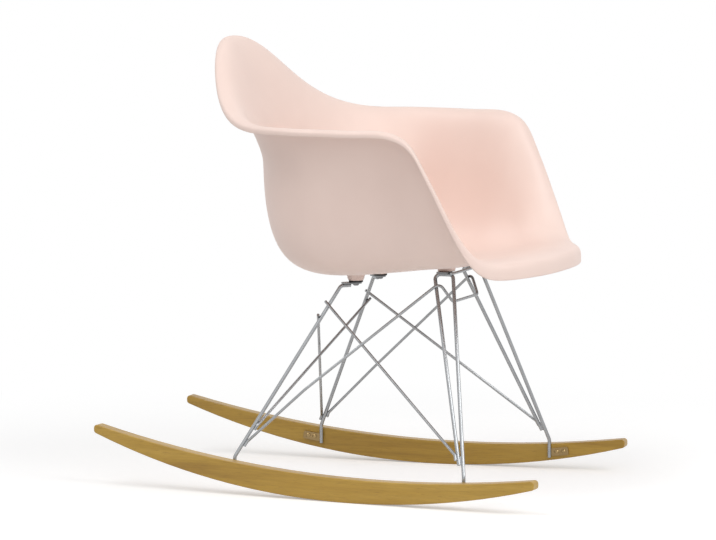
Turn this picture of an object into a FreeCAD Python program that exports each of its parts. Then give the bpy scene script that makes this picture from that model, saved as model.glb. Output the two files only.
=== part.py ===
import FreeCAD, Part

import math
import os

import Sketcher
from FreeCAD import Placement, Rotation, Vector

# Moulded armchair seat on a welded wire base with two wooden rockers.
# +Z is up, the sitter faces -Y, and the origin is on the floor below the middle of the chair.

os.makedirs("parts", exist_ok=True)
doc = FreeCAD.newDocument("RockingChair")
sheet = doc.addObject("Spreadsheet::Sheet", "Sizes")

DRIVING_SIZES = [
    # Seat shell, measured on the sitter's side
    ("shell_wall", 4.5, "wall of the moulded shell"),
    ("shell_half_width", 312.0, "widest point of the arm rims from the middle"),
    ("shell_front", 374.0, "front lip, forward of the origin"),
    ("shell_rear", 234.0, "top of the back, behind the origin"),
    ("shell_waist", 20.0, "widest point of the arms, forward of the origin"),
    ("front_squareness", 2.46, "how square the front half of the outline is, 2 for an ellipse"),
    ("rear_squareness", 1.85, "how square the rear half of the outline is"),
    ("lip_height", 402.5, "crest of the front lip above the floor"),
    ("arm_height", 621.5, "crest of the arm rims"),
    ("back_height", 759.0, "crest of the back"),
    ("arm_edge_front", 326.0, "where the front edge of the arm starts to climb"),
    ("arm_edge_rear", 176.5, "where it reaches the arm"),
    ("back_climb_start", 73.0, "where the rim starts to climb towards the back"),
    ("back_climb_power", 2.45, "how late that climb steepens"),
    ("rim_drop", 9.0, "turned down edge of the arm rims and the back"),
    ("lip_drop", 28.5, "turned down edge of the front lip"),
    ("rim_flare", 41.0, "outward flare of the arm rims"),
    ("back_flare", 25.5, "outward flare at the top of the back"),
    ("lip_flare", 52.5, "length of the front roll"),
    ("rim_crown", 3.7, "rise of the flare over the rim line"),
    ("rim_tuck", 1.0, "inward tuck of the turned down edge"),
    ("shoulder_share", 0.3, "how far down the edge its shoulder sits, as a share"),
    ("crown_share", 0.11, "where the flare is highest, as a share of its width"),
    ("flare_lift", 0.06, "rise at the inner end of the flare, as a share of its width"),
    ("lip_onset", 1.5, "how late the rim turns into the lip"),
    ("upper_wall_share", 0.37, "upper control ring of the walls, as a share from rim to seat"),
    ("lower_wall_share", 0.52, "lower control ring of the walls"),
    ("lip_bulge", 0.6, "roundness of the moulded edge, as a share of the wall"),
    ("seat_half_width", 241.5, "where the side walls would meet the seat"),
    ("seat_front", 270.0, "where the front roll leaves the seat"),
    ("seat_rear", 118.0, "where the back would meet the seat"),
    ("seat_rear_lift", 24.5, "rise of that corner, which opens it into a bowl"),
    ("seat_height", 369.5, "seat over the rear mounts"),
    ("seat_slope", 0.10, "rise of the seat per unit forward"),
    ("flat_half_width", 100.0, "flat middle of the seat"),
    ("flat_front", 212.0, "front end of the flat"),
    ("flat_rear", 14.0, "rear end of the flat"),
    ("dish_half_width", 150.0, "where the seat starts to curve up"),
    ("dish_front", 240.0, "its front end"),
    ("dish_rear", 36.0, "its rear end"),
    ("flat_squareness", 3.0, "how square the flat is"),
    ("lumbar_upper", 34.0, "forward bulge of the upper back"),
    ("lumbar_lower", 15.5, "forward bulge of the lower back"),
    ("arm_draw", 5.0, "inward draw of the walls under the arms"),
    ("corner_draw", 8.0, "inward draw where arm turns into back"),
    # Bosses, inserts, pads and plates between shell and base
    ("mount_half_width", 55.0, "mounts from the middle"),
    ("mount_front", 182.0, "front mounts, forward of the origin"),
    ("mount_rear", 18.5, "rear mounts, forward of the origin"),
    ("boss_front_length", 6.4, "front bosses, below the underside of the shell"),
    ("boss_rear_length", 13.85, "rear bosses, below the underside of the shell"),
    ("boss_radius", 13.0, "lower end of a moulded boss"),
    ("boss_draft", 1.5, "how much wider the boss is at the shell"),
    ("insert_radius", 4.8, "threaded insert"),
    ("insert_length", 7.0, "threaded insert"),
    ("insert_bore_radius", 3.1, "threaded insert"),
    ("insert_groove", 0.6, "depth of the holding groove of an insert"),
    ("fit_clearance", 0.15, "round pieces in their holes"),
    ("pad_radius", 12.0, "rubber pad under each boss"),
    ("pad_thickness", 3.0, "rubber pad"),
    ("plate_thickness", 2.5, "mount plate"),
    ("plate_width", 20.0, "mount plate"),
    ("plate_reach", 24.0, "far end of a mount plate from its hole"),
    ("plate_corner", 4.0, "corner radius at the far end"),
    ("screw_radius", 2.9, "machine screw shank"),
    ("screw_head_radius", 5.5, "machine screw head"),
    ("screw_head_height", 3.6, "machine screw head"),
    ("socket_radius", 2.3, "hexagon socket, across its corners"),
    ("socket_depth", 2.0, "hexagon socket"),
    # Wire base
    ("leg_wire", 6.3, "wire of the legs"),
    ("brace_wire", 4.8, "wire of the braces"),
    ("weld_depth", 0.5, "how far welded wires sink into each other"),
    ("bar_half_width", 65.0, "top bars of the front legs, from the middle"),
    ("bar_length", 33.0, "top bars, between the two rods of a leg"),
    ("bar_setback", 1.0, "middle of the top bars, behind the front mounts"),
    ("bar_bend", 8.0, "bend radius at the ends of the top bars"),
    ("rear_bend_half_width", 74.5, "upper bend of a rear leg"),
    ("rear_bend_setback", 1.0, "upper bend of a rear leg, behind the origin"),
    ("rear_end_gap", 10.0, "end of a rear leg from its screw"),
    ("knee_bend", 10.0, "bend radius of the legs at the rockers"),
    ("front_foot", 269.5, "front feet along the rocker, forward of the origin"),
    ("rear_foot", 151.0, "rear feet along the rocker, behind the origin"),
    ("front_knee_rise", 8.0, "bend of a front leg above the rocker's upper edge"),
    ("rear_knee_rise", 4.0, "bend of a rear leg above the rocker's upper edge"),
    ("foot_clearance", 0.3, "wire of a foot off the rocker"),
    ("foot_reach", 9.0, "lower end of a foot below the rocker's middle line"),
    ("rod_gap", 0.5, "gap between the two rods of a front leg where they are welded"),
    ("rod_end_rise", 27.0, "lower end of the rear rod above the rocker's upper edge"),
    ("bead_radius", 2.2, "weld bead in that gap"),
    ("bead_length", 14.0, "weld bead in that gap"),
    ("top_rod_setback", 1.5, "front cross rod behind the ends of the top bars"),
    ("top_rod_overhang", 5.0, "front cross rod past the top bars"),
    ("cradle_weld_drop", 21.0, "cradle wire on the front legs, below the top bars"),
    ("cradle_overrun", 9.0, "cradle wire from that weld to its upper bend"),
    ("cradle_bend", 10.0, "bend radius of the cradle wire"),
    ("elbow_share", 0.345, "elbow of the cradle wire, as a share from the rear foot to the front leg"),
    ("elbow_outward", 14.0, "that elbow off the straight line"),
    ("elbow_rearward", 6.0, "that elbow off the straight line"),
    ("elbow_bend", 60.0, "bend radius of that elbow"),
    ("cradle_low_half_width", 60.0, "lower bends of the cradle wire"),
    ("cradle_low_front", 195.0, "its cross run, forward of the origin"),
    ("cradle_low_drop", 46.0, "its cross run, below the top bars"),
    ("side_brace_drop", 32.0, "side brace on the rear leg, below the leg's level end"),
    ("left_brace_drop", 54.0, "left rear brace on the left rear leg, below its level end"),
    ("right_brace_drop", 42.0, "right rear brace on the right rear leg"),
    ("brace_overrun", 7.0, "upper ends of the braces past their weld"),
    ("brace_bend", 8.0, "lower bend radius of the braces"),
    ("brace_run", 8.0, "lower ends of the braces, down beside the legs"),
    ("front_join_rise", 41.0, "side braces meet the front legs, above the rocker's upper edge"),
    ("side_join_rise", 31.0, "cradle wire meets the rear legs"),
    ("left_join_rise", 21.0, "left rear brace meets the right rear leg"),
    ("right_join_rise", 58.0, "right rear brace meets the left rear leg"),
    # Foot plates and their screws
    ("foot_plate_thickness", 3.0, "steel plate on the rocker"),
    ("foot_plate_height", 14.0, "steel plate on the rocker"),
    ("foot_plate_seam", 1.2, "plate into the side of the foot's wire"),
    ("foot_plate_length", 34.0, "far end of the plate from the foot"),
    ("foot_plate_round", 3.0, "corner radius of the plate"),
    ("foot_screw_first", 13.0, "first wood screw from the foot"),
    ("foot_screw_pitch", 12.5, "second wood screw from the first"),
    ("wood_screw_radius", 2.0, "wood screw shank"),
    ("wood_screw_length", 15.0, "wood screw below its head"),
    ("wood_screw_point", 4.0, "tapered end of a wood screw"),
    ("wood_screw_head_radius", 3.8, "wood screw head"),
    ("wood_screw_head_height", 2.4, "wood screw head"),
    # Rockers
    ("rocker_front", 403.5, "front end, forward of the origin"),
    ("rocker_rear", 408.5, "rear end, behind the origin"),
    ("rocker_contact", 71.5, "where the rocker touches the floor, forward of the origin"),
    ("rocker_radius", 1315.0, "lower edge"),
    ("rocker_depth", 41.0, "height in the middle"),
    ("rocker_front_depth", 15.0, "height of the front end"),
    ("rocker_rear_depth", 15.0, "height of the rear end"),
    ("rocker_thickness", 22.0, "board"),
    ("rocker_half_width", 223.0, "outer face from the middle, at the origin"),
    ("rocker_toe_degrees", 3.4, "turn of each rocker, narrower at the back"),
    ("rocker_end_round", 6.0, "corner radius of the ends"),
    ("rocker_edge_round", 2.0, "rounding along the edges"),
]

for row, (alias, number, note) in enumerate(DRIVING_SIZES, start=1):
    sheet.set(f"A{row}", alias)
    sheet.set(f"B{row}", str(number))
    sheet.set(f"C{row}", note)
    sheet.setAlias(f"B{row}", alias)
doc.recompute()

SIDES = {"left": -1, "right": 1}
RING_STATIONS = 48
SURFACE_DEGREE = 3


class Length:
    """A size from the sheet, or a sum of sizes, as a number and as an expression."""

    def __init__(self, value, text):
        self.value = value
        self.text = text

    def __add__(self, other):
        return Length(self.value + other.value, f"{self.text} + {other.text}")

    def __sub__(self, other):
        return Length(self.value - other.value, f"{self.text} - ({other.text})")

    def __mul__(self, factor):
        return Length(self.value * factor, f"({self.text}) * {factor}")

    def __neg__(self):
        return Length(-self.value, f"-({self.text})")


def length(alias):
    return Length(float(sheet.get(alias)), f"Sizes.{alias}")


def size(alias):
    return float(sheet.get(alias))


ZERO = Length(0.0, "0")
sub_parts = {}


def keep(label, thing):
    """Names a finished sub-part."""
    thing.Label = label
    sub_parts[label] = thing
    return thing


# Sketches and bodies


def body_sketch(body, name, role):
    """A sketch on one of the body's own origin planes."""
    plane = [feature for feature in body.Origin.OriginFeatures if feature.Role == role][0]
    sketch = body.newObject("Sketcher::SketchObject", name)
    sketch.AttachmentSupport = [(plane, "")]
    sketch.MapMode = "FlatFace"
    return sketch


def bind(sketch, kind, geometry, point, distance):
    """Holds one coordinate of a sketch point to a size."""
    if distance is ZERO:
        axis = -2 if kind == "DistanceX" else -1
        sketch.addConstraint(Sketcher.Constraint("PointOnObject", geometry, point, axis))
        return
    number = sketch.addConstraint(Sketcher.Constraint(kind, -1, 1, geometry, point, distance.value))
    sketch.setExpression(f"Constraints[{number}]", distance.text)


def bind_point(sketch, geometry, point, across, along):
    bind(sketch, "DistanceX", geometry, point, across)
    bind(sketch, "DistanceY", geometry, point, along)


def closed_outline(sketch, corners):
    """A closed outline of straight lines through corners that are bound to sizes."""
    points = [Vector(across.value, along.value, 0) for across, along in corners]
    count = len(points)
    for index in range(count):
        sketch.addGeometry(Part.LineSegment(points[index], points[(index + 1) % count]), False)
    for index, (across, along) in enumerate(corners):
        follower = (index + 1) % count
        sketch.addConstraint(Sketcher.Constraint("Coincident", index, 2, follower, 1))
        bind_point(sketch, index, 1, across, along)


def bound_circle(sketch, across, along, radius):
    circle = Part.Circle(Vector(across.value, along.value, 0), Vector(0, 0, 1), radius.value)
    index = sketch.addGeometry(circle, False)
    bind_point(sketch, index, 3, across, along)
    number = sketch.addConstraint(Sketcher.Constraint("Radius", index, radius.value))
    sketch.setExpression(f"Constraints[{number}]", radius.text)


def turned_body(name, corners, placement):
    """A body turned about its own Z axis: each corner is a radius and a height."""
    body = doc.addObject("PartDesign::Body", name)
    sketch = body_sketch(body, name + "_profile", "XZ_Plane")
    closed_outline(sketch, corners)
    turning = body.newObject("PartDesign::Revolution", name + "_turning")
    turning.Profile = sketch
    turning.ReferenceAxis = (sketch, ["V_Axis"])
    turning.Angle = 360
    body.Tip = turning
    body.Placement = placement
    return body


def pad_feature(body, sketch, name, depth):
    pad = body.newObject("PartDesign::Pad", name)
    pad.Profile = sketch
    pad.setExpression("Length", depth.text)
    body.Tip = pad
    return pad


def pocket_feature(body, sketch, name, depth, reverse):
    pocket = body.newObject("PartDesign::Pocket", name)
    pocket.Profile = sketch
    pocket.setExpression("Length", depth.text)
    pocket.Reversed = reverse
    body.Tip = pocket
    return pocket


# Wires

def rounded_route(points, radii):
    """Straight runs joined by tangent arcs, one radius for each inner point."""
    edges = []
    start = points[0]
    for before, corner, after, radius in zip(points, points[1:], points[2:], radii):
        into = (corner - before).normalize()
        out = (after - corner).normalize()
        turn = into.getAngle(out)
        setback = radius * math.tan(turn / 2)
        first = corner - into * setback
        last = corner + out * setback
        bisector = (out - into).normalize()
        middle = corner + bisector * (radius / math.cos(turn / 2) - radius)
        edges.append(Part.LineSegment(start, first).toShape())
        edges.append(Part.Arc(first, middle, last).toShape())
        start = last
    edges.append(Part.LineSegment(start, points[-1]).toShape())
    return Part.Wire(edges)


def bent_wire(name, points, radii, gauge):
    """A round wire swept along its route; its section is bound to the gauge in the sheet."""
    route = doc.addObject("Part::Feature", name + "_route")
    route.Shape = rounded_route(points, radii)
    section = doc.addObject("Part::Circle", name + "_section")
    section.setExpression("Radius", f"Sizes.{gauge} / 2")
    heading = points[1] - points[0]
    section.Placement = Placement(points[0], Rotation(Vector(0, 0, 1), heading))
    wire = doc.addObject("Part::Sweep", name + "_wire")
    wire.Sections = [section]
    wire.Spine = (route, [f"Edge{index + 1}" for index in range(len(route.Shape.Edges))])
    wire.Solid = True
    wire.Frenet = False
    return wire


def coped(name, wire, against):
    """The wire with the pieces that it is welded to cut out of it, so that they meet face to face."""
    result = wire
    for index, other in enumerate(against):
        cut = doc.addObject("Part::Cut", f"{name}_cope_{index + 1}")
        cut.Base = result
        cut.Tool = other
        result = cut
    return keep(name, result)


def at_height(low, high, height):
    """The point at a height on the line through two points."""
    share = (height - low.z) / (high.z - low.z)
    return low + (high - low) * share


def lap_offset(axis, other, reach, towards):
    """The step from one wire's axis to that of a wire lapped over it, on the side asked for."""
    step = axis.cross(other).normalize() * reach
    return step if step.dot(towards) > 0 else step * -1


def side_step(low, high, towards, reach):
    """The step square to a leg, on the side asked for."""
    along = (high - low).normalize()
    across = towards - along * towards.dot(along)
    return across.normalize() * reach


# Rockers


def rocker_bottom(along):
    """Height of the rocker's lower edge."""
    radius = size("rocker_radius")
    return radius - math.sqrt(radius**2 - (along + size("rocker_contact")) ** 2)


def rocker_top_arc():
    """Upper edge: an arc through the ends and the full depth between them."""
    front = -size("rocker_front")
    rear = size("rocker_rear")
    front_loss = math.sqrt(size("rocker_depth") - size("rocker_front_depth"))
    rear_loss = math.sqrt(size("rocker_depth") - size("rocker_rear_depth"))
    deepest = front + (rear - front) * front_loss / (front_loss + rear_loss)
    return (
        Vector(front, rocker_bottom(front) + size("rocker_front_depth"), 0),
        Vector(deepest, rocker_bottom(deepest) + size("rocker_depth"), 0),
        Vector(rear, rocker_bottom(rear) + size("rocker_rear_depth"), 0),
    )


def rocker_top(along):
    """Height of the rocker's upper edge."""
    circle = Part.Circle(*rocker_top_arc())
    centre = circle.Center
    return centre.y - math.sqrt(circle.Radius**2 - (along - centre.x) ** 2)


def rocker_placement(side):
    """Each rocker turns about the upright through its own middle."""
    middle = size("rocker_half_width") - size("rocker_thickness") / 2
    return Placement(Vector(side * middle, 0, 0), Rotation(Vector(0, 0, 1), side * size("rocker_toe_degrees")))


def beside_rocker(side, along, inset, height):
    """A point off the inner face of a rocker."""
    across = -side * (size("rocker_thickness") / 2 + inset)
    return rocker_placement(side).multVec(Vector(across, along, height))


FEET = {
    "front": (-size("front_foot"), -1),
    "rear": (size("rear_foot"), 1),
}


def foot_height(along):
    """Middle of the rocker's inner face at a foot."""
    return (rocker_bottom(along) + rocker_top(along)) / 2


def screw_places():
    """Along the rocker and up, for each wood screw."""
    places = []
    for along, outward in FEET.values():
        for number in range(2):
            reach = size("foot_screw_first") + number * size("foot_screw_pitch")
            step = outward * reach
            tilt = foot_tilt(along)
            places.append((along + step * math.cos(tilt), foot_height(along) + step * math.sin(tilt)))
    return places


def foot_tilt(along):
    """Slope of the rocker's middle line at a foot, as an angle."""
    step = 1.0
    return math.atan((foot_height(along + step) - foot_height(along - step)) / (2 * step))


def make_rocker(name, side):
    """A board cut to two arcs, with rounded ends, eased edges and pilot holes."""
    body = doc.addObject("PartDesign::Body", name + "_body")
    sketch = body_sketch(body, name + "_side_view", "YZ_Plane")
    top_front, top_middle, top_rear = rocker_top_arc()
    bottom_front = Vector(top_front.x, rocker_bottom(top_front.x), 0)
    bottom_rear = Vector(top_rear.x, rocker_bottom(top_rear.x), 0)
    middle = Vector(-size("rocker_contact"), 0, 0)
    sketch.addGeometry(Part.Arc(bottom_front, middle, bottom_rear), False)
    sketch.addGeometry(Part.LineSegment(bottom_rear, top_rear), False)
    sketch.addGeometry(Part.Arc(top_front, top_middle, top_rear), False)
    sketch.addGeometry(Part.LineSegment(top_front, bottom_front), False)
    radius = sketch.addConstraint(Sketcher.Constraint("Radius", 0, size("rocker_radius")))
    sketch.setExpression(f"Constraints[{radius}]", "Sizes.rocker_radius")
    pad = pad_feature(body, sketch, name + "_board", length("rocker_thickness"))
    pad.SideType = "Symmetric"
    doc.recompute()
    ends = [
        f"Edge{index + 1}"
        for index, edge in enumerate(pad.Shape.Edges)
        if edge.Length < size("rocker_thickness") * 1.001
        and abs(edge.tangentAt(edge.FirstParameter).x) > 0.999
    ]
    rounding = body.newObject("PartDesign::Fillet", name + "_end_rounding")
    rounding.Base = (pad, ends)
    rounding.setExpression("Radius", "Sizes.rocker_end_round")
    doc.recompute()
    easing = body.newObject("PartDesign::Fillet", name + "_easing")
    flats = [
        f"Face{index + 1}"
        for index, face in enumerate(rounding.Shape.Faces)
        if abs(face.normalAt(0, 0).x) > 0.999
    ]
    easing.Base = (rounding, flats)
    easing.setExpression("Radius", "Sizes.rocker_edge_round")
    holes = body_sketch(body, name + "_pilot_holes", "YZ_Plane")
    holes.AttachmentOffset = Placement(
        Vector(0, 0, -side * size("rocker_thickness") / 2), Rotation()
    )
    radius = length("wood_screw_radius") + length("fit_clearance")
    for along, height in screw_places():
        circle = Part.Circle(Vector(along, height, 0), Vector(0, 0, 1), radius.value)
        index = holes.addGeometry(circle, False)
        number = holes.addConstraint(Sketcher.Constraint("Radius", index, radius.value))
        holes.setExpression(f"Constraints[{number}]", radius.text)
    depth = length("wood_screw_length") - length("foot_plate_thickness") + length("fit_clearance")
    pocket_feature(body, holes, name + "_pilots", depth, side > 0)
    body.Placement = rocker_placement(side)
    return keep(name, body)


# Foot plates and wood screws


def make_foot_plate(end, side_name):
    """Steel plate on the rocker's inner face: the leg is welded to it, two screws hold it."""
    side = SIDES[side_name]
    along, outward = FEET[end]
    name = f"foot_plate_{end}_{side_name}"
    body = doc.addObject("PartDesign::Body", name + "_body")
    outline = body_sketch(body, name + "_outline", "YZ_Plane")
    inner = (length("leg_wire") * 0.5 - length("foot_plate_seam")) * outward
    outer = length("foot_plate_length") * outward
    half = length("foot_plate_height") * 0.5
    closed_outline(outline, [(inner, -half), (outer, -half), (outer, half), (inner, half)])
    pad = pad_feature(body, outline, name + "_pad", length("foot_plate_thickness"))
    pad.Reversed = side > 0
    doc.recompute()
    corners = [
        f"Edge{index + 1}"
        for index, edge in enumerate(pad.Shape.Edges)
        if abs(edge.tangentAt(edge.FirstParameter).x) > 0.999
    ]
    rounding = body.newObject("PartDesign::Fillet", name + "_corners")
    rounding.Base = (pad, corners)
    rounding.setExpression("Radius", "Sizes.foot_plate_round")
    body.Tip = rounding
    holes = body_sketch(body, name + "_holes", "YZ_Plane")
    for number in range(2):
        reach = length("foot_screw_first") + length("foot_screw_pitch") * number
        bound_circle(holes, reach * outward, ZERO, length("wood_screw_radius") + length("fit_clearance"))
    pocket_feature(body, holes, name + "_drilling", length("foot_plate_thickness"), side < 0)
    seat = Placement(
        Vector(-side * size("rocker_thickness") / 2, along, foot_height(along)),
        Rotation(Vector(1, 0, 0), math.degrees(foot_tilt(along))),
    )
    body.Placement = rocker_placement(side).multiply(seat)
    return keep(name, body)


def make_wood_screw(end, side_name, number):
    """Pan head wood screw with a tapered end."""
    side = SIDES[side_name]
    along, outward = FEET[end]
    name = f"foot_screw_{end}_{side_name}_{number + 1}"
    head = length("wood_screw_head_radius")
    rise = length("wood_screw_head_height")
    shank = length("wood_screw_radius")
    reach = length("wood_screw_length")
    point = length("wood_screw_point")
    corners = [
        (ZERO, rise),
        (head * 0.6, rise),
        (head, rise * 0.4),
        (head, ZERO),
        (shank, ZERO),
        (shank, point - reach),
        (ZERO, -reach),
    ]
    spot, height = screw_places()[(0 if end == "front" else 2) + number]
    face = Vector(-side * (size("rocker_thickness") / 2 + size("foot_plate_thickness")), spot, height)
    seat = Placement(face, Rotation(Vector(0, 0, 1), Vector(-side, 0, 0)))
    body = turned_body(name + "_body", corners, rocker_placement(side).multiply(seat))
    return keep(name, body)


# Mounts between the shell and the base


def mount_point(end, side):
    along = -size("mount_front") if end == "front" else -size("mount_rear")
    return Vector(side * size("mount_half_width"), along, 0)


def boss_bottom(end):
    """Lower end of a boss, below the sloping seat."""
    along = mount_point(end, 1).y
    seat = size("seat_height") - size("seat_slope") * (along + size("mount_rear"))
    return seat - size("shell_wall") - size(f"boss_{end}_length")


def plate_top(end):
    """Upper face of a mount plate, under its pad."""
    return boss_bottom(end) - size("pad_thickness")


def wire_height(end):
    """Axis of the level wire that carries the mount plates of one end."""
    return plate_top(end) - size("plate_thickness") + size("weld_depth") - size("leg_wire") / 2


def plate_heading(end, side):
    """Direction from a mount's hole to the wire that carries its plate."""
    if end == "front":
        return Vector(side, 0, 0)
    bend = Vector(side * size("rear_bend_half_width"), size("rear_bend_setback"), 0)
    return (bend - mount_point(end, side)).normalize()


def make_mount_plate(end, side_name):
    """Flat steel tab with a round end about its screw hole."""
    side = SIDES[side_name]
    name = f"mount_plate_{end}_{side_name}"
    body = doc.addObject("PartDesign::Body", name + "_body")
    outline = body_sketch(body, name + "_outline", "XY_Plane")
    half = length("plate_width") * 0.5
    reach = length("plate_reach")
    low = Vector(0, -half.value, 0)
    high = Vector(0, half.value, 0)
    far_low = Vector(reach.value, -half.value, 0)
    far_high = Vector(reach.value, half.value, 0)
    outline.addGeometry(Part.LineSegment(low, far_low), False)
    outline.addGeometry(Part.LineSegment(far_low, far_high), False)
    outline.addGeometry(Part.LineSegment(far_high, high), False)
    outline.addGeometry(Part.Arc(high, Vector(-half.value, 0, 0), low), False)
    for first, last in ((0, 1), (1, 2)):
        outline.addConstraint(Sketcher.Constraint("Coincident", first, 2, last, 1))
    bind_point(outline, 0, 1, ZERO, -half)
    bind_point(outline, 1, 1, reach, -half)
    bind_point(outline, 2, 1, reach, half)
    bind_point(outline, 2, 2, ZERO, half)
    outline.addConstraint(Sketcher.Constraint("Coincident", 2, 2, 3, 1))
    outline.addConstraint(Sketcher.Constraint("Coincident", 3, 2, 0, 1))
    outline.addConstraint(Sketcher.Constraint("PointOnObject", 3, 3, -2))
    pad = pad_feature(body, outline, name + "_pad", length("plate_thickness"))
    pad.Reversed = True
    doc.recompute()
    corners = [
        f"Edge{index + 1}"
        for index, edge in enumerate(pad.Shape.Edges)
        if abs(edge.tangentAt(edge.FirstParameter).z) > 0.999 and edge.CenterOfMass.x > reach.value / 2
    ]
    rounding = body.newObject("PartDesign::Fillet", name + "_corners")
    rounding.Base = (pad, corners)
    rounding.setExpression("Radius", "Sizes.plate_corner")
    body.Tip = rounding
    hole = body_sketch(body, name + "_hole", "XY_Plane")
    bound_circle(hole, ZERO, ZERO, length("screw_radius") + length("fit_clearance"))
    pocket_feature(body, hole, name + "_drilling", length("plate_thickness"), False)
    spot = mount_point(end, side) + Vector(0, 0, plate_top(end))
    body.Placement = Placement(spot, Rotation(Vector(1, 0, 0), plate_heading(end, side)))
    return keep(name, body)


def make_mount_pad(end, side_name):
    """Rubber washer between the plate and the boss."""
    outer = length("pad_radius")
    bore = length("screw_radius") + length("fit_clearance") * 2
    thick = length("pad_thickness")
    corners = [(bore, ZERO), (outer, ZERO), (outer, thick), (bore, thick)]
    name = f"mount_pad_{end}_{side_name}"
    spot = mount_point(end, SIDES[side_name]) + Vector(0, 0, plate_top(end))
    return keep(name, turned_body(name + "_body", corners, Placement(spot, Rotation())))


def make_insert(end, side_name):
    """Threaded insert with a holding groove, flush with the end of its boss."""
    outer = length("insert_radius")
    bore = length("insert_bore_radius")
    groove = outer - length("insert_groove")
    tall = length("insert_length")
    corners = [
        (bore, ZERO),
        (outer, ZERO),
        (outer, tall * 0.35),
        (groove, tall * 0.45),
        (groove, tall * 0.55),
        (outer, tall * 0.65),
        (outer, tall),
        (bore, tall),
    ]
    name = f"threaded_insert_{end}_{side_name}"
    spot = mount_point(end, SIDES[side_name]) + Vector(0, 0, boss_bottom(end))
    return keep(name, turned_body(name + "_body", corners, Placement(spot, Rotation())))


def make_mount_screw(end, side_name):
    """Machine screw with a domed head and a hexagon socket, from below through plate and pad."""
    head = length("screw_head_radius")
    drop = length("screw_head_height")
    shank = length("screw_radius")
    stack = length("plate_thickness") + length("pad_thickness") + length("insert_length")
    corners = [
        (ZERO, -drop),
        (head * 0.7, -drop),
        (head, drop * -0.45),
        (head, ZERO),
        (shank, ZERO),
        (shank, stack - length("insert_groove")),
        (shank - length("insert_groove"), stack),
        (ZERO, stack),
    ]
    name = f"mount_screw_{end}_{side_name}"
    spot = mount_point(end, SIDES[side_name])
    spot = spot + Vector(0, 0, plate_top(end) - size("plate_thickness"))
    body = turned_body(name + "_body", corners, Placement(spot, Rotation()))
    socket = body_sketch(body, name + "_socket", "XY_Plane")
    socket.setExpression("AttachmentOffset.Base.z", "-Sizes.screw_head_height")
    corner = size("socket_radius")
    spots = [
        Vector(corner * math.cos(math.radians(60 * turn)), corner * math.sin(math.radians(60 * turn)), 0)
        for turn in range(6)
    ]
    for index in range(6):
        socket.addGeometry(Part.LineSegment(spots[index], spots[(index + 1) % 6]), False)
    pocket_feature(body, socket, name + "_socket_cut", length("socket_depth"), True)
    return keep(name, body)


# Seat shell


def outline_point(turn, half_width, front, rear, middle, front_power, rear_power):
    """A squared ellipse: turn 0 is the front, pi the rear, and it grows towards +X."""
    sine = math.sin(turn)
    cosine = math.cos(turn)
    power = front_power if cosine > 0 else rear_power
    reach = (front - middle) if cosine > 0 else (rear + middle)
    across = math.copysign(half_width * abs(sine) ** (2 / power), sine)
    along = -middle - math.copysign(reach * abs(cosine) ** (2 / power), cosine)
    return across, along


def smooth_step(share):
    share = min(max(share, 0.0), 1.0)
    return share * share * (3 - 2 * share)


def rim_height(along):
    """Side view of the rim: lip, climbing arm edge, level arm, and the climb to the back."""
    climb = (along + size("arm_edge_front")) / (size("arm_edge_front") - size("arm_edge_rear"))
    height = size("lip_height") + (size("arm_height") - size("lip_height")) * smooth_step(climb)
    start = size("back_climb_start")
    rise = min(max((along - start) / (size("shell_rear") - start), 0.0), 1.0)
    return height + (size("back_height") - size("arm_height")) * rise ** size("back_climb_power")


def rim_point(turn):
    across, along = outline_point(
        turn,
        size("shell_half_width"),
        size("shell_front"),
        size("shell_rear"),
        size("shell_waist"),
        size("front_squareness"),
        size("rear_squareness"),
    )
    return Vector(across, along, rim_height(along))


def rim_turns():
    """Turns that space the stations evenly along the rim, the same on both sides."""
    steps = 2000
    turns = [math.pi * index / steps for index in range(steps + 1)]
    travelled = [0.0]
    for before, after in zip(turns, turns[1:]):
        travelled.append(travelled[-1] + (rim_point(after) - rim_point(before)).Length)
    half = RING_STATIONS // 2
    chosen = []
    place = 0
    for station in range(half + 1):
        goal = travelled[-1] * station / half
        while place < steps and travelled[place] < goal:
            place += 1
        chosen.append(turns[place])
    return chosen + [2 * math.pi - turn for turn in reversed(chosen[1:-1])]


def rim_outward(turn):
    """Outward direction, seen from above."""
    step = 1e-3
    tangent = rim_point(turn + step) - rim_point(turn - step)
    return Vector(tangent.y, -tangent.x, 0).normalize()


def seat_ring_point(turn, half_width, front, rear, middle, front_power, rear_power):
    """A point of a ring that lies in the sloping plane of the seat."""
    across, along = outline_point(turn, half_width, front, rear, middle, front_power, rear_power)
    height = size("seat_height") - size("seat_slope") * (along + size("mount_rear"))
    return Vector(across, along, height)


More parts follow.
